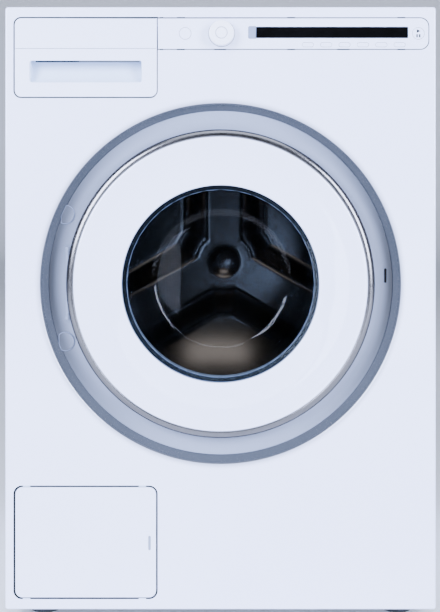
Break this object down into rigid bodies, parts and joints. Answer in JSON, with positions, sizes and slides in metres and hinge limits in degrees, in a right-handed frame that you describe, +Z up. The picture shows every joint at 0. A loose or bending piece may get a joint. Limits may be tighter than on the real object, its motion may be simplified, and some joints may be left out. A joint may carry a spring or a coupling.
{
  "type": "front-loading washing machine",
  "caption": "Full-size front-loading washing machine: white cabinet, round porthole door, detergent drawer, control strip, suspended tub and drum.",
  "frame": {"origin": "middle of the footprint on the floor, under the feet", "axes": "+Z up, +X to the right seen from the front, +Y to the rear; the door faces -Y"},
  "size_m": [0.595, 0.585, 0.85],
  "materials": {
    "cabinet_white": "smooth semi-gloss powder coat",
    "galvanised_steel": "galvanised, dull",
    "surround_plastic": "fine satin",
    "dark_plastic": "satin",
    "white_plastic": "satin",
    "knob_white": "gloss",
    "display_black": "gloss",
    "grey_plastic": "satin",
    "recess_plastic": "satin",
    "door_white": "high gloss",
    "bright_trim": "bright",
    "door_glass": "clear polished",
    "stainless": "bright rolled",
    "seal_rubber": "matt",
    "concrete": "cast",
    "cast_aluminium": "as cast"
  },
  "bodies": {
    "cabinet": {"front_panel": "cabinet_white", "cabinet_wrap": "cabinet_white", "top_panel": "cabinet_white", "base_plate": "galvanised_steel", "rear_cover": "galvanised_steel", "door_surround": "surround_plastic", "hinge_cap_upper": "surround_plastic", "hinge_cap_lower": "surround_plastic", "hinge_bracket": "galvanised_steel", "door_lock": "dark_plastic", "control_fascia": "white_plastic", "display_window": "display_black", "dispenser_housing": "grey_plastic", "drain_pump": "grey_plastic", "rear_outlet": "grey_plastic", "inlet_valve": "grey_plastic", "strut_cylinder_1": "dark_plastic", "strut_cylinder_2": "dark_plastic", "strut_cylinder_3": "dark_plastic", "strut_cylinder_4": "dark_plastic"},
    "drawer": {"drawer_front": "white_plastic", "drawer_tray": "recess_plastic"},
    "program_knob": {"program_knob": "knob_white"},
    "knob_button": {"knob_button": "knob_white"},
    "power_button": {"power_button": "white_plastic"},
    "option_button_1": {"option_button_1": "white_plastic"},
    "option_button_2": {"option_button_2": "white_plastic"},
    "option_button_3": {"option_button_3": "white_plastic"},
    "option_button_4": {"option_button_4": "white_plastic"},
    "option_button_5": {"option_button_5": "white_plastic"},
    "option_button_6": {"option_button_6": "white_plastic"},
    "start_button": {"start_button": "white_plastic"},
    "service_flap": {"service_flap": "white_plastic"},
    "drain_filter": {"drain_filter": "grey_plastic"},
    "foot_1": {"foot_1": "dark_plastic"},
    "foot_2": {"foot_2": "dark_plastic"},
    "foot_3": {"foot_3": "dark_plastic"},
    "foot_4": {"foot_4": "dark_plastic"},
    "door": {"door_ring": "door_white", "door_trim": "bright_trim", "door_glass": "door_glass", "door_inner_frame": "surround_plastic", "door_hinge_arm": "galvanised_steel"},
    "tub": {"outer_tub": "stainless", "tub_front": "stainless", "door_seal": "seal_rubber", "bearing_cartridge": "galvanised_steel", "counterweight": "concrete", "heater": "stainless", "tub_cradle": "galvanised_steel", "motor": "cast_aluminium", "drive_belt": "seal_rubber"},
    "drum": {"drum_shell": "stainless", "drum_back": "stainless", "lifter_1": "stainless", "lifter_2": "stainless", "lifter_3": "stainless", "drum_spider": "cast_aluminium", "drum_pulley": "cast_aluminium"},
    "motor_rotor": {"motor_pulley": "galvanised_steel"}
  },
  "joints": [
    {"name": "drawer_slide", "type": "slide", "parent": "cabinet", "child": "drawer", "axis": [0, -1, 0], "range_m": [0, 0.2]},
    {"name": "knob_turn", "type": "hinge", "parent": "cabinet", "child": "program_knob", "pos_m": [0.0015, -0.28, 0.8133], "axis": [0, -1, 0], "continuous": true},
    {"name": "knob_button_press", "type": "slide", "parent": "program_knob", "child": "knob_button", "axis": [0, 1, 0], "range_m": [0, 0.001], "stiffness_N_per_m": 600},
    {"name": "power_button_press", "type": "slide", "parent": "cabinet", "child": "power_button", "axis": [0, 1, 0], "range_m": [0, 0.0015], "stiffness_N_per_m": 600},
    {"name": "option_button_1_press", "type": "slide", "parent": "cabinet", "child": "option_button_1", "axis": [0, 1, 0], "range_m": [0, 0.0015], "stiffness_N_per_m": 600},
    {"name": "option_button_2_press", "type": "slide", "parent": "cabinet", "child": "option_button_2", "axis": [0, 1, 0], "range_m": [0, 0.0015], "stiffness_N_per_m": 600},
    {"name": "option_button_3_press", "type": "slide", "parent": "cabinet", "child": "option_button_3", "axis": [0, 1, 0], "range_m": [0, 0.0015], "stiffness_N_per_m": 600},
    {"name": "option_button_4_press", "type": "slide", "parent": "cabinet", "child": "option_button_4", "axis": [0, 1, 0], "range_m": [0, 0.0015], "stiffness_N_per_m": 600},
    {"name": "option_button_5_press", "type": "slide", "parent": "cabinet", "child": "option_button_5", "axis": [0, 1, 0], "range_m": [0, 0.0015], "stiffness_N_per_m": 600},
    {"name": "option_button_6_press", "type": "slide", "parent": "cabinet", "child": "option_button_6", "axis": [0, 1, 0], "range_m": [0, 0.0015], "stiffness_N_per_m": 600},
    {"name": "start_button_press", "type": "slide", "parent": "cabinet", "child": "start_button", "axis": [0, 1, 0], "range_m": [0, 0.0015], "stiffness_N_per_m": 600},
    {"name": "flap_hinge", "type": "hinge", "parent": "cabinet", "child": "service_flap", "pos_m": [-0.186, -0.2725, 0.047], "axis": [1, 0, 0], "range_deg": [0, 90]},
    {"name": "filter_twist", "type": "hinge", "parent": "cabinet", "child": "drain_filter", "pos_m": [-0.228, -0.24, 0.098], "axis": [0, -1, 0], "range_deg": [0, 90]},
    {"name": "foot_1_height", "type": "slide", "parent": "cabinet", "child": "foot_1", "axis": [0, 0, -1], "range_m": [0, 0.015]},
    {"name": "foot_2_height", "type": "slide", "parent": "cabinet", "child": "foot_2", "axis": [0, 0, -1], "range_m": [0, 0.015]},
    {"name": "foot_3_height", "type": "slide", "parent": "cabinet", "child": "foot_3", "axis": [0, 0, -1], "range_m": [0, 0.015]},
    {"name": "foot_4_height", "type": "slide", "parent": "cabinet", "child": "foot_4", "axis": [0, 0, -1], "range_m": [0, 0.015]},
    {"name": "door_hinge", "type": "hinge", "parent": "cabinet", "child": "door", "pos_m": [-0.211, -0.271, 0.468], "axis": [0, 0, -1], "range_deg": [0, 120]},
    {"name": "tub_float", "type": "slide", "parent": "cabinet", "child": "tub", "axis": [0, 0, 1], "range_m": [-0.006, 0.006], "stiffness_N_per_m": 40000, "springref_m": 0.01465},
    {"name": "drum_spin", "type": "hinge", "parent": "tub", "child": "drum", "pos_m": [0, 0, 0.468], "axis": [0, -1, 0], "continuous": true},
    {"name": "motor_spin", "type": "hinge", "parent": "tub", "child": "motor_rotor", "pos_m": [0, 0.223, 0.128], "axis": [0, -1, 0], "continuous": true}
  ],
  "couplings": [
    {"joint": "motor_spin", "follows": "drum_spin", "ratio": 13.684}
  ]
}
